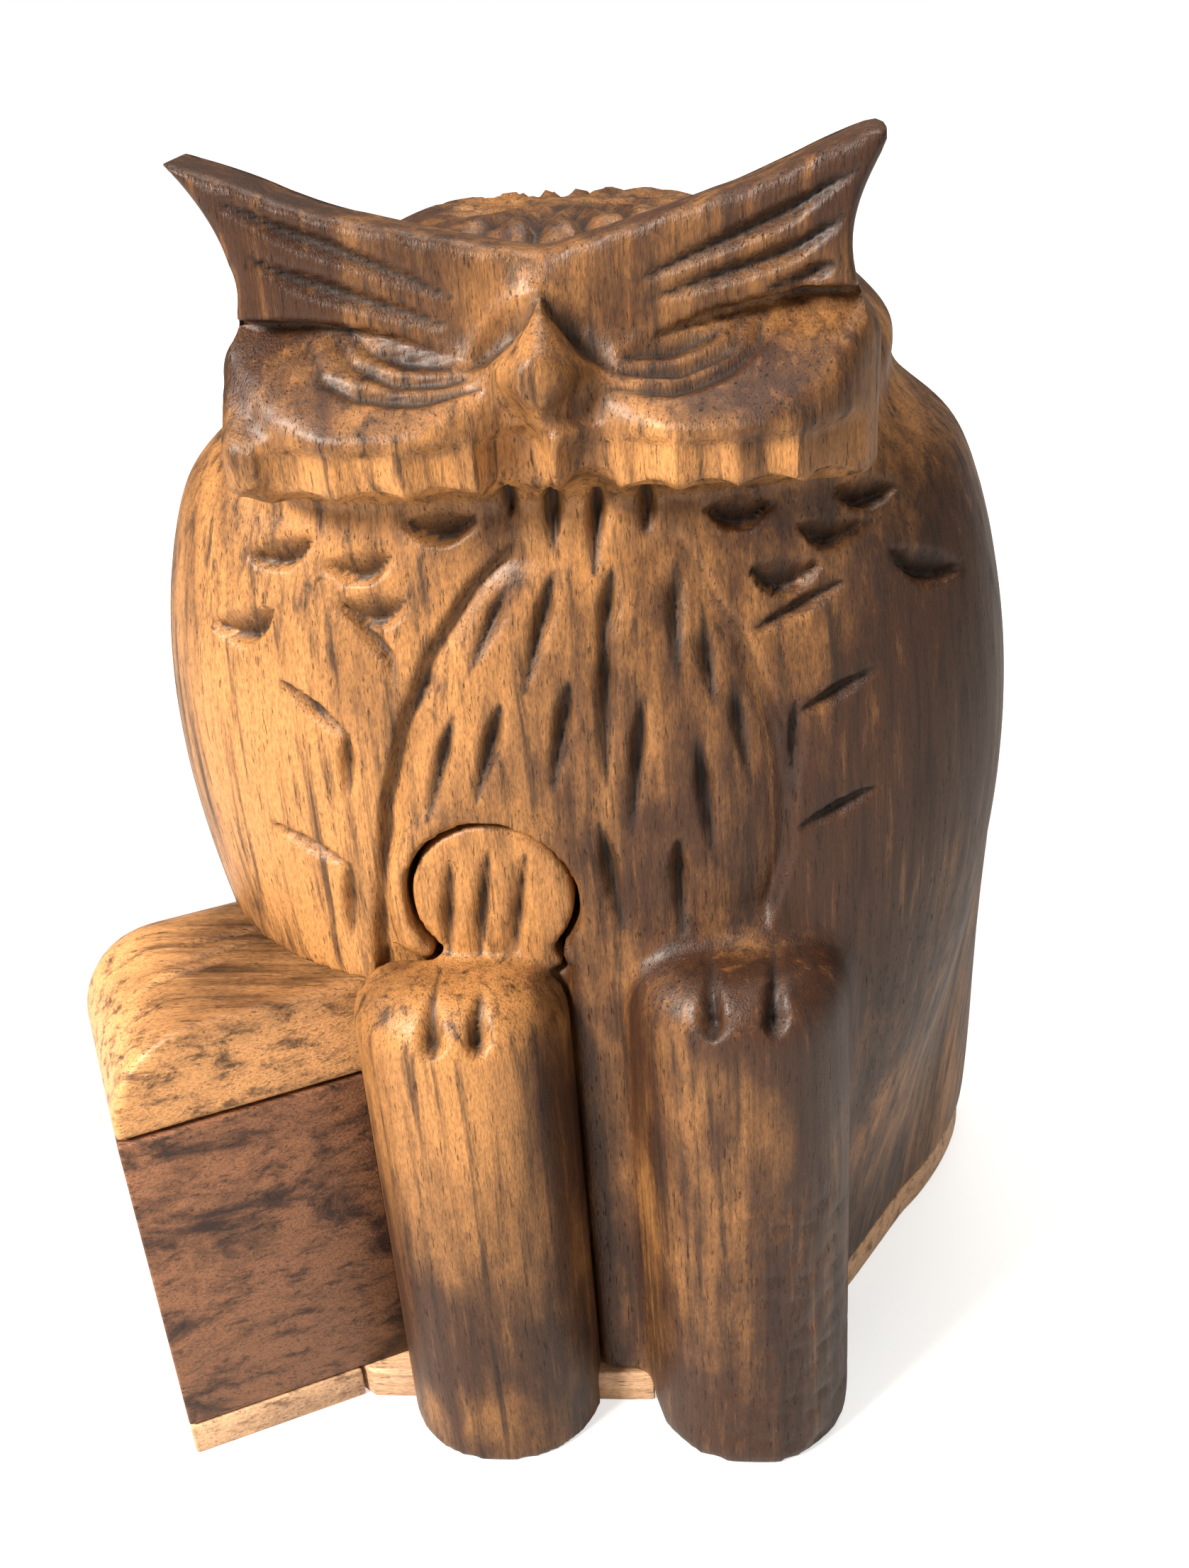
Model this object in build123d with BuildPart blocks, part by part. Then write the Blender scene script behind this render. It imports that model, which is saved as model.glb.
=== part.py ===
from build123d import *
from math import copysign, cos, pi, radians, sin
import os

os.makedirs("parts", exist_ok=True)

# Carved wooden owl with a secret compartment. Millimetres, +Z up, the owl looks along -Y.
# The origin is on the ground, under the middle of the trunk.

# ---- driving dimensions ----------------------------------------------------------------
trunk_front = -32.7        # front of the belly and of the web between the legs
trunk_half_width = 51.0    # widest half width, at the folded wings
trunk_back = 42.0          # rearmost point, low on the tail
crown_height = 149.5       # top of the rounded skull
board_thickness = 5.0      # bottom board glued under the trunk, and under the hip box

leg_width = 25.5           # each foot column, side to side
leg_nose = -43.0           # front of both foot columns
leg_round = 12.0           # plan radius of the rounded front corners
leg_top_round = 7.0        # rounding of the knee
right_leg_x = 18.0         # middle of the right foot column
left_leg_outer = -27.0     # outer side of the left foot column
right_leg_depth = 40.0     # carved from the trunk, so it runs back into it
right_leg_rise = 2.0       # the right foot column is this much taller

face_x = 1.5               # middle of the face
left_horn_reach = trunk_half_width - 17.2
right_horn_reach = trunk_half_width - 18.0
brow_valley = crown_height - 1.7    # lowest point of the V between the horns
horn_rise = 10.0           # horn tips above the valley
brow_front = trunk_front + 1.5
brow_back = trunk_front + 16.0
eye_half_width = 16.0      # each eye disc
eye_half_depth = 14.2
eye_centre_y = trunk_front + 8.0
beak_half_width = 7.0
beak_depth = 7.5

key_back = -30.6           # flat rear face of the left foot, the key
key_tongue_depth = 20.0    # how far the jigsaw tongue reaches into the belly
knob_offset = 4.95         # knob centre from the middle of the left foot, sideways
knob_rise = 8.0            # knob centre above the top of the left foot
knob_radius = 9.2
neck_width = 12.0
neck_foot_width = 15.0
neck_foot_drop = 1.4       # underside of the neck below the top of the left foot
key_kerf = 0.8             # saw kerf round the key
key_run_out = 30.0         # the kerf is sawn this far out in front of the key

cut_height = 66.0          # sawn underside of the left wing, above the hip box
hip_gap = 0.5              # clearance over and round the hip box
pivot_inset = 2.1          # vertical dowel, inward from the outer side of the left foot
pivot_clearance = 3.4      # rounded knuckle of the hip box to the back of the key
dowel_radius = 3.0
dowel_play = 0.05          # running clearance of the hip box on the dowel
dowel_seat = 12.0          # how far the dowel is let into the trunk
dowel_lift = 0.2           # foot of the dowel above the ground
knuckle_radius = 7.0       # rounded corner of the hip box round the dowel
swing_at_rest = 26.4       # degrees that the hip box stands open
hip_reach = 36.5           # dowel to the outer end of the hip box
hip_depth = 34.0
hip_back_thickness = 5.0
hip_cap_thickness = 13.3   # solid cap over the drawer
hip_end_round = 12.0       # rounding of the cap at the outer end
hip_corner_round = 8.0     # plan radius of the outer rear corner
ear_radius = 14.6          # ear of the bottom board that carries the dowel
glue_gap = 0.02            # round the dowel where it is glued in

drawer_length = 29.8
drawer_end_gap = 1.4       # open kerf between the drawer and the solid inner end
drawer_play = 0.3
drawer_wall = 4.0
drawer_side_slab = 4.0     # sawn-off slab glued back on each side of the drawer

# ---- values that follow from them ------------------------------------------------------
leg_height = cut_height + 4
left_leg_x = left_leg_outer + leg_width / 2
knob_x = left_leg_x + knob_offset
knob_z = leg_height + knob_rise
neck_foot_z = leg_height - neck_foot_drop
pivot_x = left_leg_outer + pivot_inset
pivot_y = key_back + knuckle_radius + pivot_clearance
hip_top = cut_height - hip_gap
hip_cap_bottom = hip_top - hip_cap_thickness
hip_length = hip_reach + knuckle_radius
swing = radians(swing_at_rest)
hip_origin = (
    pivot_x - hip_reach * cos(swing) + knuckle_radius * sin(swing),
    pivot_y - hip_reach * sin(swing) - knuckle_radius * cos(swing),
    0,
)
# Local X runs from the outer end to the dowel, local Y from the front face to the back.
hip_plane = Plane(origin=hip_origin, x_dir=(cos(swing), sin(swing), 0), z_dir=(0, 0, 1))
pocket_side = pivot_x + knuckle_radius + hip_gap
rear_reach = ((hip_depth - knuckle_radius) ** 2 + knuckle_radius ** 2) ** 0.5
pocket_back = pivot_y + rear_reach + hip_gap
room_length = drawer_length + drawer_end_gap
room_depth = hip_depth - hip_back_thickness
drawer_bottom = board_thickness + drawer_play
drawer_top = hip_cap_bottom - drawer_play
drawer_depth = room_depth - drawer_play
leg_inner = left_leg_x + leg_width / 2

# Trunk stations from the ground up: height, half width, front, back, taper, squareness.
# Taper narrows the front of a section and widens its back by that share.
trunk_stations = [
    (0, trunk_half_width - 9, trunk_front, trunk_back, 0.50, 3.4),
    (0.335 * crown_height, trunk_half_width - 2, trunk_front, trunk_back + 1, 0.20, 3.0),
    (0.670 * crown_height, trunk_half_width - 1, trunk_front + 1, trunk_back - 8, 0.00, 2.6),
    (0.856 * crown_height, trunk_half_width - 10, trunk_front + 6, trunk_back - 17, 0.00, 2.4),
    (crown_height, trunk_half_width - 37, trunk_front + 21, trunk_back - 33, 0.00, 2.2),
]


def section_points(half_width, front, back, taper, squareness, count=20):
    """Points round one rounded section of the trunk."""
    middle = (front + back) / 2
    half_depth = (back - front) / 2
    points = []
    for step in range(count):
        turn = 2 * pi * step / count
        across = copysign(abs(cos(turn)) ** (2 / squareness), cos(turn))
        along = copysign(abs(sin(turn)) ** (2 / squareness), sin(turn))
        points.append((half_width * across * (1 + taper * along), middle + half_depth * along))
    return points


# ---- shared forms, outside the pieces --------------------------------------------------
with BuildPart() as trunk_form:
    for height, *section in trunk_stations:
        with BuildSketch(Plane.XY.offset(height)):
            with BuildLine():
                Spline(*section_points(*section), periodic=True)
            make_face()
    loft()
    # flat seat for the bottom board
    with BuildSketch(Plane.XY.offset(-1)):
        Rectangle(3 * trunk_half_width, 3 * trunk_half_width)
    extrude(amount=board_thickness + 1, mode=Mode.SUBTRACT)

with BuildPart() as right_leg_form:
    with BuildSketch():
        with Locations((right_leg_x, leg_nose + right_leg_depth / 2)):
            RectangleRounded(leg_width, right_leg_depth, leg_round)
    extrude(amount=leg_height + right_leg_rise)
    fillet(right_leg_form.faces().sort_by(Axis.Z)[-1].edges(), radius=leg_top_round)

with BuildPart() as left_leg_form:
    with BuildSketch():
        with Locations((left_leg_x, leg_nose + leg_width)):
            RectangleRounded(leg_width, 2 * leg_width, leg_round)
    extrude(amount=leg_height)
    fillet(left_leg_form.faces().sort_by(Axis.Z)[-1].edges(), radius=leg_top_round)

with BuildSketch(Plane.XZ) as tongue_outline:
    with Locations((knob_x, knob_z)):
        Circle(knob_radius)
    with BuildLine():
        Polyline(
            (knob_x - neck_foot_width / 2, neck_foot_z),
            (knob_x + neck_foot_width / 2, neck_foot_z),
            (knob_x + neck_width / 2, neck_foot_z + 3),
            (knob_x + neck_width / 2, knob_z),
            (knob_x - neck_width / 2, knob_z),
            (knob_x - neck_width / 2, neck_foot_z + 3),
            close=True,
        )
    make_face()

# Space that the hip box needs in the trunk, over its whole swing.
with BuildPart() as hip_pocket:
    with BuildSketch(Plane.XY.offset(-1)):
        with Locations((pocket_side, leg_nose)):
            Rectangle(
                2 * trunk_half_width,
                pocket_back - leg_nose,
                align=(Align.MAX, Align.MIN),
            )
    extrude(amount=cut_height + 1)

# ---- owl_body: head, wings, belly and right foot, carved from one block ----------------
with BuildPart() as owl_body:
    add(trunk_form.part)
    add(right_leg_form.part)
    # brow: one slab with a horn at each side and a shallow V between them
    with BuildSketch(Plane.XZ.offset(-brow_front)):
        with BuildLine():
            Polyline(
                (face_x, brow_valley),
                (face_x - 0.605 * left_horn_reach, brow_valley + 0.46 * horn_rise),
                (face_x - left_horn_reach, brow_valley + horn_rise),
                (face_x - left_horn_reach + 2, brow_valley - 6.8),
                (face_x - 9.5, brow_valley - 10.8),
                (face_x, brow_valley - 17.8),
                (face_x + 8.5, brow_valley - 10.8),
                (face_x + right_horn_reach - 1, brow_valley - 6.8),
                (face_x + right_horn_reach, brow_valley + horn_rise),
                (face_x + 0.603 * right_horn_reach, brow_valley + 0.52 * horn_rise),
                close=True,
            )
        make_face()
    extrude(amount=brow_front - brow_back)
    # eye discs: two visors that slope down to a thick rim
    for side in (-1, 1):
        with BuildSketch(Plane.YZ.offset(face_x + (side - 1) * eye_half_width)) as visor:
            with BuildLine():
                Polyline(
                    (trunk_front + 12, brow_valley - 6.3),
                    (trunk_front + 3, brow_valley - 7.3),
                    (trunk_front - 6.2, brow_valley - 15.2),
                    (trunk_front - 5.4, brow_valley - 21.2),
                    (trunk_front + 4, brow_valley - 23.2),
                    (trunk_front + 16, brow_valley - 23.2),
                    (trunk_front + 16, brow_valley - 6.3),
                    close=True,
                )
            make_face()
        with BuildPart(mode=Mode.PRIVATE) as visor_form:
            extrude(visor.sketch, amount=2 * eye_half_width)
            with BuildSketch(Plane.XY.offset(brow_valley - 28)):
                with Locations((face_x + side * eye_half_width, eye_centre_y)):
                    Ellipse(eye_half_width, eye_half_depth)
            extrude(amount=28, mode=Mode.INTERSECT)
        add(visor_form.part)
    # beak: a diamond that narrows to its tip
    with BuildSketch(Plane.XZ.offset(-trunk_front - 1)):
        with BuildLine():
            Polyline(
                (face_x, brow_valley - 1.8),
                (face_x + beak_half_width, brow_valley - 9.8),
                (face_x, brow_valley - 18.3),
                (face_x - beak_half_width, brow_valley - 9.8),
                close=True,
            )
        make_face()
    extrude(amount=beak_depth, taper=24)
    # underside of the wing, and the way in for the key
    add(hip_pocket.part, mode=Mode.SUBTRACT)
    with BuildSketch(Plane.XY.offset(-1)):
        with Locations((leg_inner + key_kerf / 2, key_back + key_kerf / 2)):
            Rectangle(3 * leg_width, 2 * leg_width, align=(Align.MAX, Align.MAX))
    extrude(amount=leg_height + key_kerf + 1, mode=Mode.SUBTRACT)
    with BuildSketch(Plane.XZ.offset(-key_back + key_run_out)):
        add(tongue_outline.sketch)
        offset(amount=key_kerf, kind=Kind.ARC)
    extrude(amount=-key_run_out - key_tongue_depth - 2 * key_kerf, mode=Mode.SUBTRACT)
    # blind hole for the dowel
    with BuildSketch(Plane.XY.offset(cut_height - 1)):
        with Locations((pivot_x, pivot_y)):
            Circle(dowel_radius + glue_gap)
    extrude(amount=dowel_seat + 2, mode=Mode.SUBTRACT)
owl_body.part.label = "owl_body"
export_step(owl_body.part, "parts/owl_body.step")

# ---- base_board: bottom board, with the ear that carries the dowel ----------------------
with BuildPart() as base_board:
    with BuildSketch():
        with BuildLine():
            Spline(*section_points(*trunk_stations[0][1:]), periodic=True)
        make_face()
    extrude(amount=board_thickness)
    add(hip_pocket.part, mode=Mode.SUBTRACT)
    add(right_leg_form.part, mode=Mode.SUBTRACT)
    with BuildSketch() as ear:
        with Locations((pivot_x, pivot_y)):
            Circle(ear_radius)
        with Locations((0, trunk_front)):
            Rectangle(
                2 * trunk_half_width,
                2 * trunk_half_width,
                align=(Align.CENTER, Align.MIN),
                mode=Mode.INTERSECT,
            )
    extrude(ear.sketch, amount=board_thickness)
    with Locations((pivot_x, pivot_y, board_thickness)):
        Hole(dowel_radius + glue_gap, depth=board_thickness)
base_board.part.label = "base_board"
export_step(base_board.part, "parts/base_board.step")

# ---- pivot_dowel: turned dowel, glued into the board's ear and the trunk ----------------
with BuildPart() as pivot_dowel:
    with BuildSketch(Plane.XY.offset(dowel_lift)):
        with Locations((pivot_x, pivot_y)):
            Circle(dowel_radius)
    extrude(amount=cut_height + dowel_seat - dowel_lift)
    chamfer(pivot_dowel.edges().filter_by(GeomType.CIRCLE), length=0.5)
pivot_dowel.part.label = "pivot_dowel"
export_step(pivot_dowel.part, "parts/pivot_dowel.step")

# ---- leg_key: the left foot, with the jigsaw knob that holds it in the belly -----------
with BuildPart() as leg_key:
    add(left_leg_form.part)
    with BuildSketch(Plane.XZ.offset(-key_back)):
        Rectangle(4 * leg_width, 4 * leg_height)
    extrude(amount=-2 * leg_width, mode=Mode.SUBTRACT)
    with BuildSketch(Plane.XZ.offset(-key_back + 0.2)):
        add(tongue_outline.sketch)
    extrude(amount=-key_tongue_depth - 0.2)
    # notch over the front edge of the bottom board
    with BuildSketch():
        with Locations((left_leg_x, trunk_front - drawer_play)):
            Rectangle(2 * leg_width, leg_width, align=(Align.CENTER, Align.MIN))
    extrude(amount=board_thickness + drawer_play, mode=Mode.SUBTRACT)
leg_key.part.label = "leg_key"
export_step(leg_key.part, "parts/leg_key.step")

# ---- hip box: one sawn block that turns on the dowel ------------------------------------
with BuildPart() as hip_form:
    with BuildSketch(hip_plane.offset(board_thickness)):
        Rectangle(hip_length, hip_depth, align=(Align.MIN, Align.MIN))
    extrude(amount=hip_top - board_thickness)
    uprights = hip_form.edges().filter_by(Axis.Z)
    near_dowel = uprights.sort_by_distance((pivot_x, pivot_y, cut_height / 2))[0]
    fillet(near_dowel, radius=knuckle_radius - 0.01)
    outer = hip_form.edges().filter_by(Axis.Z).sort_by(Axis.X)[0]
    fillet(outer, radius=hip_corner_round)
    top_face = hip_form.faces().sort_by(Axis.Z)[-1]
    end_edge = top_face.edges().filter_by(GeomType.LINE).sort_by(Axis.X)[0]
    fillet(end_edge, radius=hip_end_round)
    with BuildSketch(hip_plane.offset(board_thickness)):
        with Locations((hip_reach, knuckle_radius)):
            Circle(dowel_radius + dowel_play)
    extrude(amount=hip_top, mode=Mode.SUBTRACT)
    # running clearance over the ear
    with BuildSketch(hip_plane.offset(board_thickness)):
        with Locations((hip_reach, knuckle_radius)):
            Circle(ear_radius + hip_gap)
    extrude(amount=drawer_play, mode=Mode.SUBTRACT)

with BuildPart() as hip_block:
    add(hip_form.part)
    with BuildSketch(hip_plane.offset(board_thickness)):
        Rectangle(room_length, hip_depth, align=(Align.MIN, Align.MIN))
    extrude(amount=hip_cap_bottom - board_thickness, mode=Mode.SUBTRACT)
    with BuildSketch(hip_plane):
        with Locations((-1, room_depth)):
            Rectangle(2 * hip_length, hip_depth, align=(Align.MIN, Align.MIN))
    extrude(amount=cut_height, mode=Mode.SUBTRACT)
hip_block.part.label = "hip_block"
export_step(hip_block.part, "parts/hip_block.step")

with BuildPart() as hip_back:
    add(hip_form.part)
    with BuildSketch(hip_plane):
        with Locations((-1, room_depth)):
            Rectangle(2 * hip_length, 2 * hip_depth, align=(Align.MIN, Align.MAX))
    extrude(amount=cut_height, mode=Mode.SUBTRACT)
hip_back.part.label = "hip_back"
export_step(hip_back.part, "parts/hip_back.step")

with BuildPart() as hip_floor:
    with BuildSketch(hip_plane):
        Rectangle(hip_length, hip_depth, align=(Align.MIN, Align.MIN))
        with Locations((hip_reach, knuckle_radius)):
            Circle(ear_radius + hip_gap, mode=Mode.SUBTRACT)
    extrude(amount=board_thickness)
    outer = hip_floor.edges().filter_by(Axis.Z).sort_by(Axis.X)[0]
    fillet(outer, radius=hip_corner_round)
hip_floor.part.label = "hip_floor"
export_step(hip_floor.part, "parts/hip_floor.step")

# ---- drawer: a sawn core, hollowed, with its two side slabs glued back on ---------------
with BuildPart() as drawer_core:
    with BuildSketch(hip_plane.offset(drawer_bottom)):
        with Locations((0, drawer_side_slab)):
            Rectangle(
                drawer_length,
                drawer_depth - 2 * drawer_side_slab,
                align=(Align.MIN, Align.MIN),
            )
    extrude(amount=drawer_top - drawer_bottom)
    with BuildSketch(hip_plane.offset(drawer_bottom + drawer_wall)):
        with Locations((drawer_wall, 0)):
            Rectangle(drawer_length - 2 * drawer_wall, hip_depth, align=(Align.MIN, Align.MIN))
    extrude(amount=drawer_top, mode=Mode.SUBTRACT)
drawer_core.part.label = "drawer_core"
export_step(drawer_core.part, "parts/drawer_core.step")

for slab_name, slab_offset in (("drawer_face", 0), ("drawer_rear", drawer_depth - drawer_side_slab)):
    with BuildPart() as drawer_slab:
        with BuildSketch(hip_plane.offset(drawer_bottom)):
            with Locations((0, slab_offset)):
                Rectangle(drawer_length, drawer_side_slab, align=(Align.MIN, Align.MIN))
        extrude(amount=drawer_top - drawer_bottom)
    drawer_slab.part.label = slab_name
    export_step(drawer_slab.part, f"parts/{slab_name}.step")
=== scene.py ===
import math

import bmesh
import bpy
import numpy as np
from mathutils import Matrix, Vector


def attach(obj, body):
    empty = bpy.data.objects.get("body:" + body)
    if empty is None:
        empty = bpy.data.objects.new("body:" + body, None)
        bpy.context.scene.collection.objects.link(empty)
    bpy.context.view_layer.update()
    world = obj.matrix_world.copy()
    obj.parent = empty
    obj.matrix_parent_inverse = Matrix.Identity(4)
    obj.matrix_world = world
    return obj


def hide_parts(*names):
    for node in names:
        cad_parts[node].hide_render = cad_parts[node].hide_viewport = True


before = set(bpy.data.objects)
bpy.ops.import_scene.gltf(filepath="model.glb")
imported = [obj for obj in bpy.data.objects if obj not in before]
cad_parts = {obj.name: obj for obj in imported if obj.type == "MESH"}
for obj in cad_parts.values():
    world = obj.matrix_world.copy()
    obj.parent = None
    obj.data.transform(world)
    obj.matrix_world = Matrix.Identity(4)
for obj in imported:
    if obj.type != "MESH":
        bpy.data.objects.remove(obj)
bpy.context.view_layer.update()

# ---- bottom boards ----------------------------------------------------------------------
# The owl stands on a thin board of pale sapwood, glued under the trunk after sawing. A second
# piece of the same board closes the hip box. Both are sanded, so their edges are softly broken.

MM = 0.001


def wood_group():
    """Grain that every piece shares: soft growth bands, fine streaks, open pores, and painted shade in the
    cut marks.
    """
    tree = bpy.data.node_groups.new("oiled hardwood", "ShaderNodeTree")
    for name, form in (
        ("Position", "NodeSocketVector"),
        ("Sapwood", "NodeSocketColor"),
        ("Heartwood", "NodeSocketColor"),
        ("Streak", "NodeSocketColor"),
        ("Heart share", "NodeSocketFloat"),
        ("Cut shade", "NodeSocketFloat"),
        ("Band strength", "NodeSocketFloat"),
    ):
        tree.interface.new_socket(name, in_out="INPUT", socket_type=form)
    tree.interface.new_socket("Colour", in_out="OUTPUT", socket_type="NodeSocketColor")
    tree.interface.new_socket("Roughness", in_out="OUTPUT", socket_type="NodeSocketFloat")
    tree.interface.new_socket("Height", in_out="OUTPUT", socket_type="NodeSocketFloat")
    new = tree.nodes.new
    wire = tree.links.new
    given = new("NodeGroupInput")
    result = new("NodeGroupOutput")

    def stretched(scale):
        node = new("ShaderNodeVectorMath")
        node.operation = "MULTIPLY"
        node.inputs[1].default_value = scale
        wire(given.outputs["Position"], node.inputs[0])
        return node.outputs[0]

    def noise(vector, scale, detail, rough, distortion=0.0):
        node = new("ShaderNodeTexNoise")
        node.inputs["Scale"].default_value = scale
        node.inputs["Detail"].default_value = detail
        node.inputs["Roughness"].default_value = rough
        node.inputs["Distortion"].default_value = distortion
        wire(vector, node.inputs["Vector"])
        return node.outputs["Fac"]

    def ranged(value, low, high, to_low=0.0, to_high=1.0):
        node = new("ShaderNodeMapRange")
        node.interpolation_type = "SMOOTHSTEP"
        node.inputs["From Min"].default_value = low
        node.inputs["From Max"].default_value = high
        node.inputs["To Min"].default_value = to_low
        node.inputs["To Max"].default_value = to_high
        wire(value, node.inputs["Value"])
        return node.outputs["Result"]

    def maths(kind, first, second):
        node = new("ShaderNodeMath")
        node.operation = kind
        for socket, value in ((node.inputs[0], first), (node.inputs[1], second)):
            if isinstance(value, (int, float)):
                socket.default_value = value
            else:
                wire(value, socket)
        return node.outputs[0]

    def mixed(share, first, second):
        node = new("ShaderNodeMix")
        node.data_type = "RGBA"
        wire(share, node.inputs["Factor"])
        for socket, value in ((node.inputs["A"], first), (node.inputs["B"], second)):
            if isinstance(value, tuple):
                socket.default_value = value
            else:
                wire(value, socket)
        return node.outputs["Result"]

    # the grain runs along Z, so every pattern is stretched that way
    bands = noise(stretched((1, 1, 0.14)), 0.12, 6, 0.62, 0.9)
    streaks = noise(stretched((1, 1, 0.055)), 0.55, 9, 0.68, 0.35)
    blotches = noise(stretched((1, 1, 0.5)), 0.07, 8, 0.68)
    pores = ranged(noise(stretched((1, 1, 0.10)), 3.4, 4, 0.62), 0.61, 0.72)
    fleck = noise(stretched((1, 1, 0.30)), 4.2, 3, 0.6)
    band_shift = maths("MULTIPLY", maths("SUBTRACT", bands, 0.5), given.outputs["Band strength"])
    blotch_shift = maths("MULTIPLY", maths("SUBTRACT", blotches, 0.5), 1.7)
    heart = maths("ADD", given.outputs["Heart share"], maths("ADD", band_shift, blotch_shift))
    colour = mixed(ranged(heart, 0.0, 1.0), given.outputs["Sapwood"], given.outputs["Heartwood"])
    colour = mixed(ranged(streaks, 0.47, 0.68, 0.0, 0.85), colour, given.outputs["Streak"])
    colour = mixed(ranged(streaks, 0.30, 0.46, 0.25, 0.0), colour, given.outputs["Sapwood"])
    colour = mixed(ranged(fleck, 0.38, 0.72, 0.0, 0.42), colour, given.outputs["Streak"])
    colour = mixed(maths("MULTIPLY", pores, 0.5), colour, given.outputs["Streak"])
    # painted shade: the colour is darkened towards near black where the carving marks its cuts
    colour = mixed(ranged(given.outputs["Cut shade"], 0.0, 1.0, 0.0, 0.88), colour, (0.012, 0.006, 0.004, 1))
    wire(colour, result.inputs["Colour"])
    rough = maths("ADD", ranged(streaks, 0.3, 0.8, 0.34, 0.52), maths("MULTIPLY", pores, 0.2))
    wire(maths("ADD", rough, maths("MULTIPLY", given.outputs["Cut shade"], 0.25)), result.inputs["Roughness"])
    relief = maths("ADD", maths("MULTIPLY", streaks, 0.35), maths("MULTIPLY", pores, -0.5))
    wire(maths("ADD", relief, maths("MULTIPLY", fleck, 0.25)), result.inputs["Height"])
    return tree


HARDWOOD = wood_group()


def wood(name, sap, heart, streak, share=0.5, bands=1.6, turn=(0, 0, 0), shift=(0, 0, 0), relief=0.35):
    """A piece's own wood: its colours, how much heartwood it has and which way its grain runs."""
    material = bpy.data.materials.new(name)
    material.use_nodes = True
    tree = material.node_tree
    new = tree.nodes.new
    wire = tree.links.new
    shader = tree.nodes["Principled BSDF"]
    shader.inputs["Coat Weight"].default_value = 0.07
    shader.inputs["Coat Roughness"].default_value = 0.28
    shader.inputs["Specular IOR Level"].default_value = 0.32
    place = new("ShaderNodeTexCoord")
    grain = new("ShaderNodeMapping")
    grain.inputs["Scale"].default_value = (1 / MM,) * 3
    grain.inputs["Rotation"].default_value = [math.radians(a) for a in turn]
    grain.inputs["Location"].default_value = shift
    wire(place.outputs["Object"], grain.inputs["Vector"])
    group = new("ShaderNodeGroup")
    group.name = "hardwood"
    group.node_tree = HARDWOOD
    group.inputs["Sapwood"].default_value = (*sap, 1)
    group.inputs["Heartwood"].default_value = (*heart, 1)
    group.inputs["Streak"].default_value = (*streak, 1)
    group.inputs["Heart share"].default_value = share
    group.inputs["Band strength"].default_value = bands
    wire(grain.outputs["Vector"], group.inputs["Position"])
    wire(group.outputs["Colour"], shader.inputs["Base Color"])
    wire(group.outputs["Roughness"], shader.inputs["Roughness"])
    bump = new("ShaderNodeBump")
    bump.inputs["Distance"].default_value = relief * MM
    wire(group.outputs["Height"], bump.inputs["Height"])
    wire(bump.outputs["Normal"], shader.inputs["Normal"])
    return material


def wood_copy(name, node):
    """A merged copy of a CAD node's mesh, as a new object at the origin."""
    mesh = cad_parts[node].data.copy()
    mesh.name = name
    piece = bpy.data.objects.new(name, mesh)
    bpy.context.scene.collection.objects.link(piece)
    form = bmesh.new()
    form.from_mesh(mesh)
    bmesh.ops.remove_doubles(form, verts=form.verts, dist=0.002 * MM)
    bmesh.ops.dissolve_limit(form, angle_limit=math.radians(1), verts=form.verts, edges=form.edges)
    form.to_mesh(mesh)
    form.free()
    mesh.materials.clear()
    return piece


def finish_piece(piece, material, body, node):
    """Gives a piece its wood and its body, and lets it stand for its CAD node."""
    piece.data.materials.append(material)
    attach(piece, body)
    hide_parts(node)


def broken_edges(piece, width):
    """Sandpaper over the arrises: a small bevel on every edge sharper than 35 degrees."""
    sharp = math.radians(35)
    form = bmesh.new()
    form.from_mesh(piece.data)
    edges = [e for e in form.edges if len(e.link_faces) == 2 and e.calc_face_angle(0) > sharp]
    bmesh.ops.bevel(
        form, geom=edges, offset=width, segments=2, affect="EDGES", profile=0.5, material=-1,
        clamp_overlap=True,
    )
    bmesh.ops.recalc_face_normals(form, faces=form.faces)
    for face in form.faces:
        face.smooth = True
    form.to_mesh(piece.data)
    form.free()
    return piece


sanded = 0.4 * MM
board_wood = wood(
    "board wood", (0.82, 0.50, 0.28), (0.40, 0.23, 0.14), (0.16, 0.08, 0.05), share=0.25, turn=(0, 90, 0)
)
base_board = broken_edges(wood_copy("bottom_board", "base_board"), sanded)
finish_piece(base_board, board_wood, "trunk", "base_board")
hip_floor = broken_edges(wood_copy("hip_floor_board", "hip_floor"), sanded)
finish_piece(hip_floor, board_wood, "hip", "hip_floor")

# ---- pivot dowel ----------------------------------------------------------------------------
# The hip box turns on an upright dowel of plain pale wood, let into the trunk above and glued
# into the bottom board's ear below. It is turned on a lathe, and only its ends are sanded round.
dowel_wood = wood("dowel wood", (0.60, 0.42, 0.24), (0.42, 0.25, 0.12), (0.2, 0.1, 0.05), share=0.3)
dowel = broken_edges(wood_copy("turned_dowel", "pivot_dowel"), 0.15 * MM)
finish_piece(dowel, dowel_wood, "trunk", "pivot_dowel")

# ---- owl body -----------------------------------------------------------------------------
# Head, brow, eyes, wings, belly and right foot are one block of streaky hardwood. The outline
# was sawn, and then feathers, eyes and edges were cut with a gouge and a knife and rubbed smooth.

SAP = (0.50, 0.225, 0.070)
HEART = (0.052, 0.019, 0.008)
STREAK = (0.020, 0.009, 0.005)
coarse_mesh = 1.15
fine_mesh = 0.62


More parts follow.
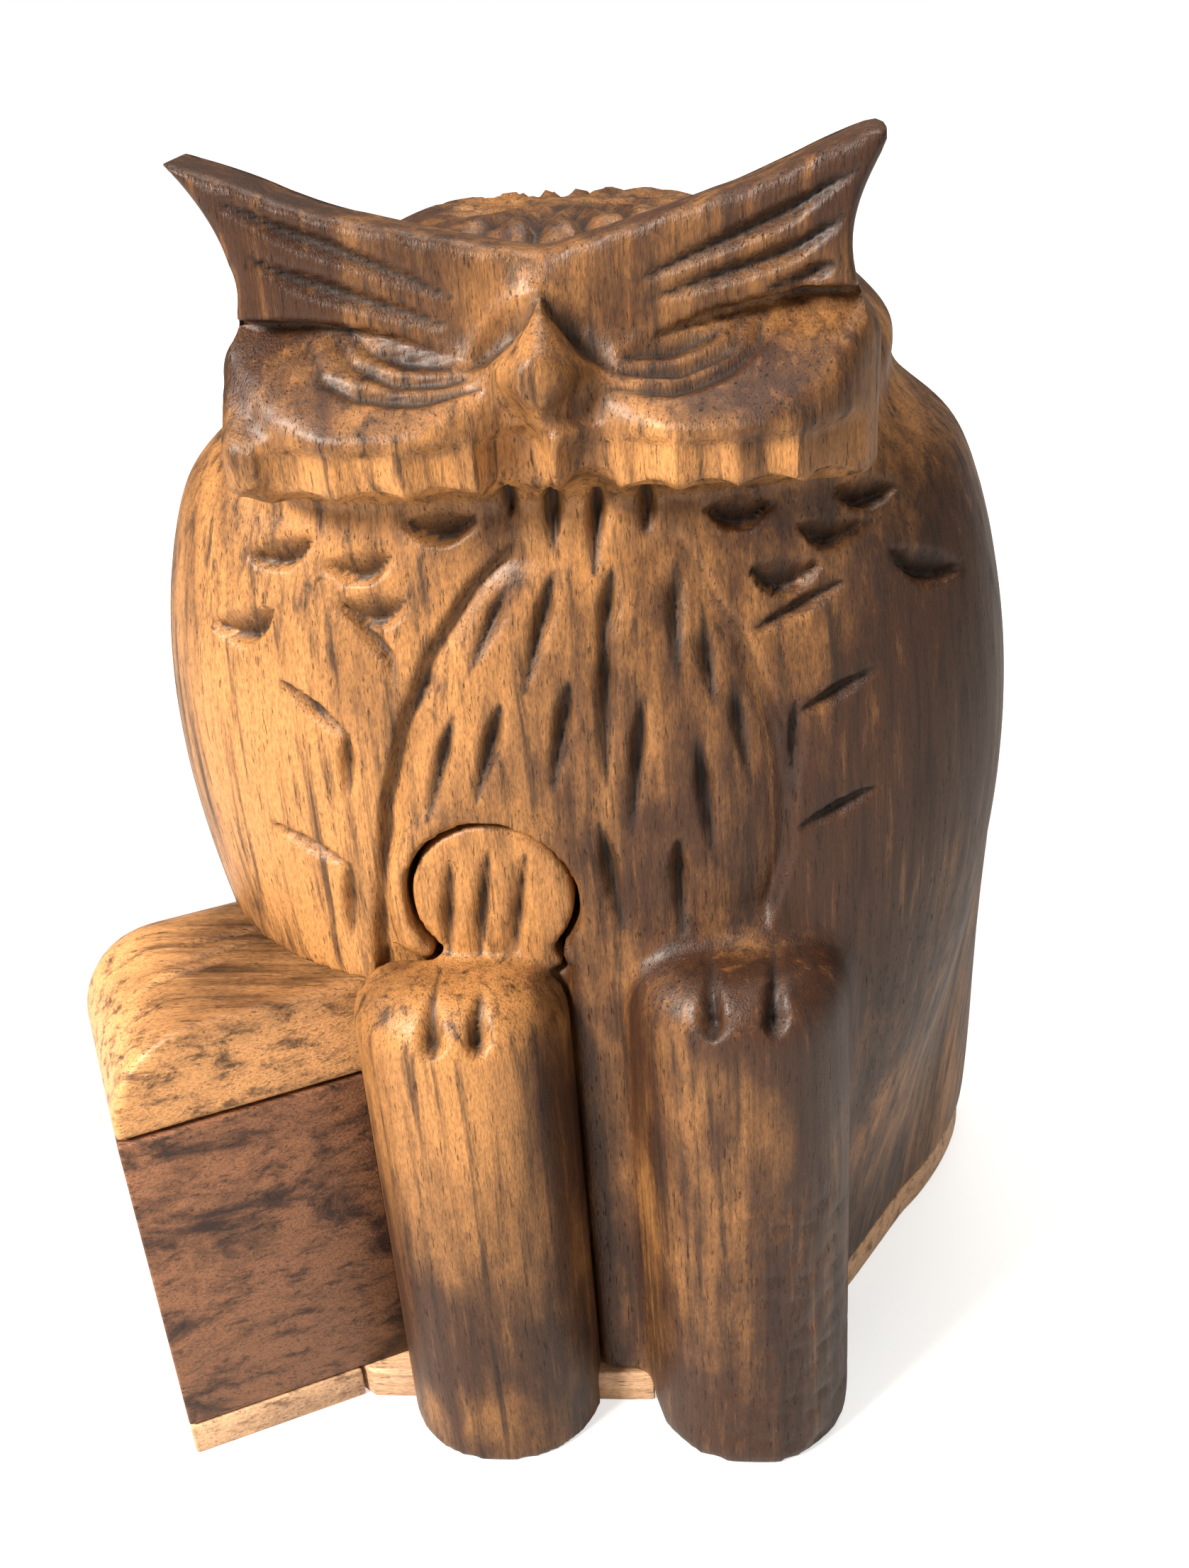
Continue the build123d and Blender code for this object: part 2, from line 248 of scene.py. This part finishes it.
def remeshed(piece, size, finer=None, spare=None, rub_rounds=4):
    """Evens the mesh so that a gouge stroke has points to move, and takes the saw marks off."""
    even = piece.modifiers.new("even", "REMESH")
    even.mode = "VOXEL"
    even.voxel_size = size * MM
    graph = bpy.context.evaluated_depsgraph_get()
    mesh = bpy.data.meshes.new_from_object(piece.evaluated_get(graph))
    piece.modifiers.clear()
    piece.data = mesh
    form = bmesh.new()
    form.from_mesh(mesh)
    rubbed = [v for v in form.verts if spare is None or not spare(v.co / MM)]
    for _ in range(rub_rounds):
        bmesh.ops.smooth_vert(
            form, verts=rubbed, factor=0.5, use_axis_x=True, use_axis_y=True, use_axis_z=True
        )
    if finer:
        form.normal_update()
        chosen = [f for f in form.faces if finer(f.calc_center_median() / MM, f.normal)]
        edges = {e for f in chosen for e in f.edges}
        bmesh.ops.subdivide_edges(form, edges=list(edges), cuts=1, use_grid_fill=True)
    for face in form.faces:
        face.smooth = True
    form.to_mesh(mesh)
    form.free()
    return piece


def rise(amount, over):
    """Climbs evenly from 0 to 1 while the amount goes from nothing to the given distance."""
    return np.clip(amount / over, 0, 1)


class Carving:
    """A piece's surface, ready for gouge strokes that are drawn flat and cut along the normals."""

    def __init__(self, piece):
        self.mesh = piece.data
        count = len(self.mesh.vertices)
        self.points = np.empty(count * 3)
        self.mesh.vertices.foreach_get("co", self.points)
        self.points = self.points.reshape(-1, 3) / MM
        self.normals = np.empty(count * 3)
        self.mesh.vertex_normals.foreach_get("vector", self.normals)
        self.normals = self.normals.reshape(-1, 3)
        self.depth = np.zeros(count)
        self.cut = np.zeros(count)
        self.tone = np.full(count, 0.5)
        self.shift = np.zeros((count, 3))
        self.look((0, 2), (0, -1, 0), 0.12)

    def look(self, flat, facing, least, where=None):
        """Which two axes the strokes are drawn on, and which side of the piece they reach."""
        self.flat = self.points[:, flat]
        self.reach = rise(self.normals @ np.array(facing) - least, 0.2)
        if where is not None:
            self.reach = self.reach * where(*self.points.T)

    def dig(self, depth, tone_and_painted_light):
        """Keeps the deepest cut and the darkest painted shade of each point that the strokes reach."""
        self.depth = np.maximum(self.depth, depth * self.reach)
        self.cut = np.maximum(self.cut, tone_and_painted_light * self.reach)

    def stroke(self, line, width, depth, tone_and_painted_light, blunt=0.5):
        """A V cut along a line, pointed at both ends and widest at the blunt share of its length, darkened
        with painted shade.
        """
        line = np.array(line, float)
        lengths = np.linalg.norm(np.diff(line, axis=0), axis=1)
        away = np.full(len(self.flat), 1e9)
        along = np.zeros(len(self.flat))
        done = 0.0
        for start, end, length in zip(line[:-1], line[1:], lengths):
            share = np.clip((self.flat - start) @ (end - start) / length**2, 0, 1)
            gap = np.linalg.norm(self.flat - start - share[:, None] * (end - start), axis=1)
            near = gap < away
            away[near] = gap[near]
            along[near] = (done + share[near] * length) / lengths.sum()
            done += length
        swell = np.where(along < blunt, along / blunt, (1 - along) / (1 - blunt))
        half = width / 2 * np.clip(swell, 0.02, 1) ** 0.4
        profile = np.clip(1 - away / half, 0, 1)
        self.dig(depth * profile**0.85 * np.sqrt(np.clip(swell, 0, 1)), tone_and_painted_light * profile)

    def feather(self, left, low, right, depth, tone_and_painted_light, height=1.0):
        """A crescent chip: deepest at its curved lower edge, running out at the top, its hollow darkened with
        painted shade.
        """
        left, low, right = (np.array(p, float) for p in (left, low, right))
        across = right - left
        length = np.linalg.norm(across)
        across = across / length
        upward = np.array((-across[1], across[0]))
        sag = -(low - left) @ upward
        u = 2 * ((self.flat - left) @ across) / length - 1
        v = (self.flat - left) @ upward
        bow = np.clip(1 - u * u, 0, 1)
        bottom = -sag * bow
        top = height * bow
        inside = rise(top - v, np.maximum(top - bottom, 0.05))
        wall = np.clip(1 - (bottom - v) / 0.45, 0, 1)
        body = np.where(v >= bottom, inside, wall) * bow**0.35
        self.dig(depth * body, tone_and_painted_light * np.where(v >= bottom, inside**0.6, 0.2 * wall) * bow**0.3)

    def facet(self, middle, half_width, depth, low, high):
        """One shallow hollow of a wide gouge, struck downwards between two heights."""
        u = (self.flat[:, 0] - middle) / half_width
        fade = rise(self.flat[:, 1] - low, 1.2) * rise(high - self.flat[:, 1], 1.2)
        self.dig(depth * np.clip(1 - u * u, 0, 1) * fade, 0)

    def tone_and_painted_light(self, spots, base):
        """The share of dark heartwood: a base value and soft spots of other values, some of them lighter
        spots of painted highlight.
        """
        self.tone[:] = base
        for x, z, wide, tall, value in spots:
            share = np.exp(-(((self.flat[:, 0] - x) / wide) ** 2) - ((self.flat[:, 1] - z) / tall) ** 2)
            self.tone += (value - self.tone) * share

    def finish(self):
        """Moves the points and keeps the painted groove shade and the heart share with the mesh."""
        moved = self.points + self.shift - self.normals * self.depth[:, None]
        self.mesh.vertices.foreach_set("co", (moved * MM).ravel())
        for name, values in (("cut", self.cut), ("tone", self.tone)):
            layer = self.mesh.attributes.new(name, "FLOAT", "POINT")
            layer.data.foreach_set("value", values.astype(np.float32))
        self.mesh.update()


def carved_wood(name, turn=(0, 0, 0), shift=(0, 0, 0), bands=1.3, sap=SAP):
    """Wood whose heart share and painted shade in the cut marks are read from the carved surface."""
    material = wood(name, sap, HEART, STREAK, bands=bands, turn=turn, shift=shift)
    tree = material.node_tree
    for attribute, socket in (("tone", "Heart share"), ("cut", "Cut shade")):
        reader = tree.nodes.new("ShaderNodeAttribute")
        reader.attribute_name = attribute
        tree.links.new(reader.outputs["Fac"], tree.nodes["hardwood"].inputs[socket])
    return material


knob_x = -9.3
knob_z = 78.0
slot_z = 77.0


def in_pocket(place):
    """The sawn faces round the hip box and the foot key stay as they were sawn."""
    hip_pocket = place.x < -16.9 and place.y < 8.8 and place.z < 66.7
    foot_recess = place.x < -0.4 and place.y < -29 and place.z < 71.5
    slot = abs(place.x - knob_x) < 11.5 and abs(place.z - slot_z) < 12.5 and place.y < -8
    return hip_pocket or foot_recess or slot


owl = remeshed(
    wood_copy("carved_owl", "owl_body"), coarse_mesh,
    finer=lambda place, normal: normal.y < -0.1 and place.y < -12 and place.z > 62, spare=in_pocket,
)
carving = Carving(owl)

# outer sides of the brow are hollowed like a saddle, and its back is hollowed behind the rim
beak_x = 1.5
saddle_depth = 3.4
neck_depth = 3.6
brow_back_depth = 8.0
x, y, z = carving.points.T
off_beak = np.abs(x - beak_x)
side = rise(off_beak - 24, 8) * rise(z - 138, 3) * rise(-14 - y, 3)
hollow = saddle_depth * np.sin(np.pi * rise(157 - z, 19)) * side
carving.shift[:, 0] = -np.sign(x - beak_x) * hollow
neck = neck_depth * np.exp(-(((z - 128.5) / 4.5) ** 2)) * rise(np.abs(x) - 33, 6)
carving.shift[:, 0] += -np.sign(x) * neck
brow_back = rise(z - 143, 4) * rise(y + 24, 5) * rise(off_beak - 9, 8)
carving.shift[:, 1] = -brow_back_depth * brow_back * rise(-10 - y, 3)

# the brow overhangs the eyes: below its lower edge the wood is cut back to the slope of the discs
brow_edge_x = (-33, -19.4, -13.5, -6.5, 1.5, 8.5, 13, 18, 26, 34)
brow_edge_z = (143.4, 142.6, 141.4, 139.2, 137, 138.6, 140.6, 142.2, 143.6, 143.4)
below_brow = rise(np.interp(x, brow_edge_x, brow_edge_z) - z, 0.7) * rise(z - 135, 2)
disc_slope = -38.9 + (z - 132.6) * 1.16
cut_back = np.clip(disc_slope - y, 0, 6) * below_brow * (y < -25) * rise(off_beak - 6, 1.5)
carving.shift[:, 1] += cut_back * (carving.normals[:, 1] < 0.2)

# the skull sits a little lower than it was sawn
skull_drop = 1.6
valley_drop = 3.6
skull = rise(z - 139, 8) * rise(y + 17, 3)
valley = np.exp(-(((y + 18.5) / 4.5) ** 2)) * np.exp(-(((x - beak_x) / 17) ** 4)) * rise(z - 141, 5)
carving.shift[:, 2] = -skull_drop * skull - valley_drop * valley

# outer ends of the eye discs are rounded off towards the cheeks
disc_rounding = 3.4
disc_end = rise(off_beak - 26.5, 5.5) * (y < -27) * (z > 122) * rise(142 - z, 3)
carving.shift[:, 1] += disc_rounding * disc_end**2 * rise(-27 - y, 9)

# edge between the wings and the belly: the belly is let in below the wing feathers, and the step is darkened
# with painted shade
left_edge_z = (60, 73, 80.5, 90, 99.5, 108, 115, 119.5)
left_edge_x = (-24, -23.5, -22, -20.5, -17.5, -13.5, -8.5, -3.5)
right_edge_z = (68, 75.5, 82.5, 90, 98, 107.5, 114, 119)
right_edge_x = (19.5, 22, 24, 24.5, 23.5, 20, 16, 13.5)
from_left_wing = x - np.interp(z, left_edge_z, left_edge_x)
from_right_wing = np.interp(z, right_edge_z, right_edge_x) - x
inside = np.minimum(from_left_wing, from_right_wing)
above_foot = np.where(x > 3, rise(z - 73.5, 3), 1)
belly_zone = rise(120.5 - z, 3) * rise(z - 64, 4) * (y < -15)
belly_zone = belly_zone * above_foot
knob_away = rise(np.hypot(x - knob_x, z - knob_z) - 11.0, 2.5)
step = rise(inside + 0.45, 0.9) * (0.35 + 1.75 * np.exp(-np.clip(inside, 0, None) / 3.2))
# painted shade along the step under the wing edge
carving.dig(step * belly_zone * knob_away, 0.55 * np.exp(-((inside - 0.2) / 0.75) ** 2) * belly_zone)

# down feathers of the belly, short cuts under the beak, crescents on the shoulders and quills
for line in (
    [(0.5, 116.5), (-3.5, 103.5)], [(-4.5, 115), (-9, 106)], [(6.5, 116.5), (4.5, 104.5)],
    [(13, 117), (12.5, 105.5)], [(-11.5, 101), (-15.5, 88.5)], [(-6, 102.5), (-10, 90.5)],
    [(1.5, 105), (-1.5, 91.5)], [(9, 103), (7, 86.5)], [(14.5, 98), (16, 82)], [(18.5, 104), (20, 91.5)],
    [(5.5, 111.5), (4.5, 92.5)], [(15.5, 110.5), (16.5, 100.5)], [(-13.5, 106), (-16, 101)],
    [(3.5, 88), (5.5, 74)], [(12, 86), (12, 74)],
):
    carving.stroke(line, 3.0, 2.4, 1.0, blunt=0.35)
for line in (
    [(1, 125.5), (0.5, 118.5)], [(5.5, 125), (4.5, 115.5)],
    [(10.5, 125), (10, 119)], [(-3.5, 125.5), (-3.5, 122)],
):
    carving.stroke(line, 2.6, 2.4, 1.0, blunt=0.3)
for chip in (
    ((-33, 117.2), (-29.3, 116.4), (-25, 119.8)), ((-24, 117.2), (-20.5, 115.4), (-16.2, 118.4)),
    ((-15, 121.6), (-11, 119.6), (-7, 122)), ((-39, 109), (-34.8, 107.7), (-30.4, 112)),
    ((-23, 113.2), (-19, 110.8), (-15, 113.8)), ((16, 121.8), (19.5, 119.6), (23, 121.8)),
    ((29, 122.2), (32.5, 119.8), (36, 121.2)), ((25.3, 119.2), (29, 116.6), (32.7, 118.4)),
    ((20.3, 115.6), (24, 112.6), (27.7, 115.2)), ((35, 115.2), (39, 111), (43.5, 110.6)),
):
    carving.feather(*chip, 2.2, 1.0)
for line in (
    [(-22.5, 113), (-17.5, 107.5), (-17.3, 104.5)], [(-30.5, 104), (-23, 98)], [(-23.4, 99), (-24.2, 91)],
    [(-35, 86), (-25, 82)], [(-25.4, 83), (-26.6, 72)], [(33.5, 103), (25, 99.5)], [(24.8, 101), (24.6, 90)],
    [(34, 89.5), (25, 86)], [(20.5, 109), (30.5, 113)],
):
    carving.stroke(line, 2.2, 1.7, 0.9)

# eyes: ringed almonds on the sloping discs, and the struck hollows of their thick rims
carving.look((0, 2), (0, -0.75, 0.66), 0.1)
for line in (
    [(-21.4, 140.6), (-19.8, 137.7), (-16.6, 136.4), (-10.5, 135.8), (-3.6, 136.6)],
    [(-18.8, 140.8), (-16.8, 138.6), (-12.9, 137.3), (-8.3, 137.0), (-5.0, 137.3)],
    [(-17.4, 140.9), (-15.3, 139.5), (-11.4, 138.6), (-6.9, 138.1)],
    [(7.6, 136.0), (13.8, 135.8), (18.9, 137.0), (22.0, 139.0), (21.6, 140.8)],
    [(7.8, 137.2), (14.5, 137.2), (19.1, 138.4), (20.2, 140.4)],
    [(9.0, 138.3), (13.8, 138.6), (17.6, 139.6), (18.4, 140.8)],
):
    carving.stroke(line, 1.5, 1.2, 0.95)
carving.look((0, 2), (0, -1, 0), 0.1, where=lambda x, y, z: (y < -27) * 1.0)
for middle, half in (
    (-22.5, 4.0), (-15.5, 4.0), (-8.8, 3.8), (-2.8, 2.6),
    (5.6, 3.0), (11.2, 3.2), (16.8, 3.2), (22.6, 3.6), (28.5, 3.2),
):
    carving.facet(middle, half, 1.3, 124.3, 132.4)

# brow: two long grooves on each side, a scooped edge over the beak, and fine lines on the rim
carving.look((0, 2), (0, -1, 0), 0.3, where=lambda x, y, z: (y < -24) * 1.0)
for line in (
    [(-29.5, 154.0), (-17.5, 149.2), (-6.5, 144.2)], [(-27.5, 148.9), (-16.5, 144.8), (-7, 141.6)],
    [(32.5, 153.6), (22.7, 149.6), (10.5, 144.9)], [(32.5, 149.6), (22.7, 146.2), (11.6, 143.2)],
    [(31, 145.6), (22, 143.4)],
):
    carving.stroke(line, 2.2, 1.7, 1.0, blunt=0.4)
for line in ([(1.6, 144.6), (-2.2, 141.0), (-5.6, 138.0)], [(1.8, 144.6), (5.2, 141.2), (8.4, 137.2)]):
    carving.stroke(line, 3.0, 2.0, 0.85)
carving.stroke([(1.8, 133.2), (1.2, 125.5)], 1.3, 1.2, 0.7)
carving.look((0, 1), (0, 0, 1), 0.3, where=lambda x, y, z: (z > 144) * (y < -14))
for start in (-24.6, -22.4):
    carving.stroke([(-30, start), (-8, start + 0.4)], 0.9, 0.5, 0.5)
    carving.stroke([(11, start + 0.4), (32, start)], 0.9, 0.5, 0.5)

# top of the skull: feathers struck outwards from the middle, like a star
crest = np.array((1.0, 0.0))
carving.look((0, 1), (0, 0, 1), 0.2, where=lambda x, y, z: (y > -16.5) * (z > 136))
for turn in range(-74, 286, 24):
    outward = np.array((math.cos(math.radians(turn)), math.sin(math.radians(turn))))
    carving.stroke([crest + 2.5 * outward, crest + 15 * outward], 3.0, 1.7, 1.0, blunt=0.6)

# right foot: two claws
carving.look((0, 2), (0, -0.8, 0.6), 0.1, where=lambda x, y, z: (y < -33) * 1.0)
for claw in (15.2, 22.1):
    carving.stroke([(claw, 72.2), (claw, 66.6)], 3.4, 2.4, 1.0, blunt=0.7)

# rough gouge marks left low on the right foot
carving.look((0, 2), (0.25, -1, 0), 0.15, where=lambda x, y, z: (y < -24) * (x > 10))
for row in range(11):
    for column in range(4):
        across = 16.5 + 3.6 * column + 1.7 * (row % 2)
        height = 44 - 3.9 * row - 1.2 * column
        carving.stroke([(across - 1.9, height), (across + 1.9, height + 1.4)], 2.2, 0.45, 0.12)

# back: long tail feathers and rows of chips like those on the shoulders
carving.look((0, 2), (0, 1, 0), 0.1)
for column, middle in enumerate((-24, -12, 0, 12, 24)):
    carving.stroke([(middle, 70 - abs(middle) * 0.3), (middle * 1.15, 12)], 4.2, 2.4, 0.9, blunt=0.4)
for row, height in enumerate((118, 106, 94, 82)):
    for middle in range(-30 + 5 * (row % 2), 31, 10):
        carving.feather((middle - 4.4, height), (middle, height - 3.4), (middle + 4.4, height), 1.8, 0.9, 1.6)

# dark heartwood, and painted highlights on the struck rim facets: middle and half size of each spot, and its
# share of heart
everywhere = -2
carving.look((0, 2), (0, -1, 0), everywhere)
carving.tone_and_painted_light(
    (
        (-18, 112, 16, 9, 0.42), (-33, 92, 12, 22, -0.25), (-27, 76, 9, 14, -0.3), (-9, 97, 9, 22, 0.42),
        (10, 92, 10, 24, 0.90), (41, 97, 10, 20, 1.7), (34, 114, 12, 10, 0.85), (30, 72, 12, 16, 1.3),
        (49, 60, 7, 30, 0.75), (47, 15, 10, 16, 0.55), (3, 121, 10, 6, 0.50),
        (-24, 149, 12, 8, 1.15), (-6, 143, 7, 6, 0.62), (14, 148, 14, 8, 0.68), (31, 152, 5, 6, 1.1),
        (-15, 128, 14, 4, -0.05), (17, 128, 14, 4, 0.1), (-14, 138, 12, 3, 0.75), (18, 138, 12, 3, 0.8),
        # painted highlights: small light spots on the struck facets of the eye rims
        (-17, 127.5, 2, 4, -0.3), (-3, 128, 2, 3, -0.2), (12, 128, 2, 4, -0.3), (24, 129, 2, 4, -0.3),
        (18, 68, 12, 7, 0.95), (18, 38, 12, 22, 0.85), (24, 22, 6, 20, 1.0), (18, 5, 14, 9, 1.15),
        (3, 35, 3, 40, 0.7),
    ),
    0.72,
)
carving.finish()
body_wood = carved_wood("body wood", shift=(7, 3, 0))
finish_piece(owl, body_wood, "trunk", "owl_body")

# ---- foot key -----------------------------------------------------------------------------
# The left foot is a rounded column sawn free from the block. A round-headed tongue behind its
# knee slides into the belly, and locks the foot like a jigsaw piece. Its claws are two cuts.
foot = remeshed(
    wood_copy("carved_foot_key", "leg_key"), fine_mesh,
    spare=lambda place: place.y > -31.5 and place.z > 66, rub_rounds=5,
)
carving = Carving(foot)
carving.look((0, 2), (0, -0.8, 0.6), 0.1, where=lambda x, y, z: (y < -33) * 1.0)
for claw in (-15.9, -10.6):
    carving.stroke([(claw, 69.9), (claw, 64.4)], 3.4, 2.4, 1.0, blunt=0.7)
carving.look((0, 2), (0, -1, 0), 0.5, where=lambda x, y, z: (z > 70.5) * 1.0)
for line in ([(-13.6, 83.5), (-15.2, 70.2)], [(-9.2, 84.8), (-11.6, 70.2)], [(-5.2, 83.5), (-7.6, 70.2)]):
    carving.stroke(line, 2.4, 1.5, 1.0, blunt=0.6)
carving.look((0, 2), (0, -1, 0), everywhere)
carving.tone_and_painted_light(
    (
        (-15, 60, 12, 15, 0.10), (-12, 36, 12, 10, 0.45), (-22, 20, 10, 10, 1.5), (-10, 17, 9, 10, 1.2),
        (-14, 3, 12, 7, 0.9), (-9, 79, 9, 9, 0.25), (-3, 45, 4, 30, 0.75),
    ),
    0.50,
)
carving.finish()
foot_wood = carved_wood("foot wood", shift=(3, 9, 0))
finish_piece(foot, foot_wood, "foot_key", "leg_key")

# ---- hip box ------------------------------------------------------------------------------
# The thigh on the left is a sawn box that turns on the dowel. Its thick cap is rounded off at the
# outer end and lightly feathered. A slab is glued on behind, after the drawer room was sawn out.
hip_cap = remeshed(wood_copy("hip_cap", "hip_block"), fine_mesh, spare=lambda place: place.z < 51.5)
carving = Carving(hip_cap)
carving.look((0, 1), (0, 0, 1), 0.1)
for line in ([(-53, -26), (-42, -20)], [(-55, -30), (-43, -23)], [(-51, -21), (-40, -16)]):
    carving.stroke(line, 1.6, 0.9, 0.6)
carving.look((0, 2), (0, -1, 0), everywhere)
carving.tone_and_painted_light(((-48, 55, 14, 6, -0.3), (-42, 66, 16, 5, 0.6), (-36, 40, 10, 14, 0.9)), 0.0)
carving.finish()
hip_wood = carved_wood("hip wood", turn=(0, 90, 0), shift=(0, 5, 2), bands=0.8, sap=(0.68, 0.33, 0.125))
finish_piece(hip_cap, hip_wood, "hip", "hip_block")
slab_wood = wood("hip slab wood", SAP, HEART, STREAK, share=0.3, turn=(0, 90, 0))
hip_back = broken_edges(wood_copy("hip_back_slab", "hip_back"), sanded)
finish_piece(hip_back, slab_wood, "hip", "hip_back")

# ---- drawer -------------------------------------------------------------------------------
# The drawer was sawn from the dark heart of the same block: a hollowed core with its two side
# slabs glued back on. It is sanded all over, and its edges are softly broken.
drawer_wood = wood(
    "drawer wood", (0.27, 0.115, 0.055), (0.035, 0.014, 0.009), (0.018, 0.008, 0.006),
    share=0.30, bands=4.5, turn=(0, 90, 0), relief=0.5,
)
for name, node in (
    ("drawer_front_slab", "drawer_face"),
    ("drawer_hollow_core", "drawer_core"),
    ("drawer_back_slab", "drawer_rear"),
):
    slab = broken_edges(wood_copy(name, node), 0.35 * MM)
    finish_piece(slab, drawer_wood, "drawer", node)

# ---- stage, light and camera ----------------------------------------------------------------
# A pale table top and soft studio light from the upper left, with the camera close and above.
# The table and the room are white for the camera alone, so that they don't wash out the wood.
floor_mesh = bpy.data.meshes.new("table_top")
table = bmesh.new()
bmesh.ops.create_grid(table, x_segments=2, y_segments=2, size=3)
table.to_mesh(floor_mesh)
table.free()
floor = bpy.data.objects.new("table_top", floor_mesh)
bpy.context.scene.collection.objects.link(floor)
paper = bpy.data.materials.new("pale table")
paper.use_nodes = True
surface = paper.node_tree.nodes["Principled BSDF"]
surface.inputs["Base Color"].default_value = (0.5, 0.5, 0.49, 1)
surface.inputs["Roughness"].default_value = 0.9
surface.inputs["Emission Color"].default_value = (1, 1, 1, 1)
glow = paper.node_tree.nodes.new("ShaderNodeMapRange")
glow.inputs["To Min"].default_value = 0.10
seen_table = paper.node_tree.nodes.new("ShaderNodeLightPath")
table_spot = paper.node_tree.nodes.new("ShaderNodeTexCoord")
distance = paper.node_tree.nodes.new("ShaderNodeVectorMath")
distance.operation = "LENGTH"
whiter = paper.node_tree.nodes.new("ShaderNodeMapRange")
whiter.inputs["From Min"].default_value = 0.10
whiter.inputs["From Max"].default_value = 0.50
whiter.inputs["To Min"].default_value = 0.64
whiter.inputs["To Max"].default_value = 1.0
link_table = paper.node_tree.links.new
link_table(seen_table.outputs["Is Camera Ray"], glow.inputs["Value"])
link_table(table_spot.outputs["Object"], distance.inputs[0])
link_table(distance.outputs["Value"], whiter.inputs["Value"])
link_table(whiter.outputs["Result"], glow.inputs["To Max"])
link_table(glow.outputs["Result"], surface.inputs["Emission Strength"])
floor_mesh.materials.append(paper)

lit_middle = Vector((0, 0, 0.07))


def soft_light(name, place, size, power, colour):
    """A round soft box, turned towards the middle of the owl."""
    lamp = bpy.data.lights.new(name, "AREA")
    lamp.shape = "DISK"
    lamp.size = size
    lamp.energy = power
    lamp.color = colour
    holder = bpy.data.objects.new(name, lamp)
    bpy.context.scene.collection.objects.link(holder)
    holder.location = place
    holder.rotation_euler = (lit_middle - Vector(place)).to_track_quat("-Z", "Y").to_euler()


soft_light("key", (-0.47, -0.46, 0.52), 0.22, 15.0, (1.0, 0.95, 0.87))
soft_light("fill", (0.50, -0.55, 0.30), 0.4, 1.0, (1.0, 0.93, 0.84))
soft_light("top", (0.10, 0.10, 0.75), 0.4, 4.0, (1.0, 0.95, 0.88))
world = bpy.data.worlds.new("pale room")
bpy.context.scene.world = world
world.use_nodes = True
sky = world.node_tree.nodes["Background"]
tint = world.node_tree.nodes.new("ShaderNodeMix")
tint.data_type = "RGBA"
tint.inputs["A"].default_value = (1.0, 0.90, 0.78, 1)
tint.inputs["B"].default_value = (1, 1, 1, 1)
seen_room = world.node_tree.nodes.new("ShaderNodeLightPath")
strength = world.node_tree.nodes.new("ShaderNodeMapRange")
strength.inputs["To Min"].default_value = 0.22
strength.inputs["To Max"].default_value = 1.0
link_room = world.node_tree.links.new
link_room(seen_room.outputs["Is Camera Ray"], tint.inputs["Factor"])
link_room(seen_room.outputs["Is Camera Ray"], strength.inputs["Value"])
link_room(tint.outputs["Result"], sky.inputs["Color"])
link_room(strength.outputs["Result"], sky.inputs["Strength"])
bpy.context.scene.view_settings.view_transform = "Standard"

eye = Vector((20.8, -185.3, 175.0)) * MM
turned = math.radians(6.5)
pitch = math.radians(28.0)
roll = math.radians(4.3)
level = Vector((math.cos(turned), math.sin(turned), 0))
ahead = Vector((-math.sin(turned) * math.cos(pitch), math.cos(turned) * math.cos(pitch), -math.sin(pitch)))
above = level.cross(ahead)
right = level * math.cos(roll) - above * math.sin(roll)
up = above * math.cos(roll) + level * math.sin(roll)
lens = bpy.data.cameras.new("camera")
lens.lens = 37.5
lens.clip_start = 0.01
camera = bpy.data.objects.new("camera", lens)
bpy.context.scene.collection.objects.link(camera)
camera.matrix_world = Matrix.Translation(eye) @ Matrix((right, up, -ahead)).transposed().to_4x4()
bpy.context.scene.camera = camera
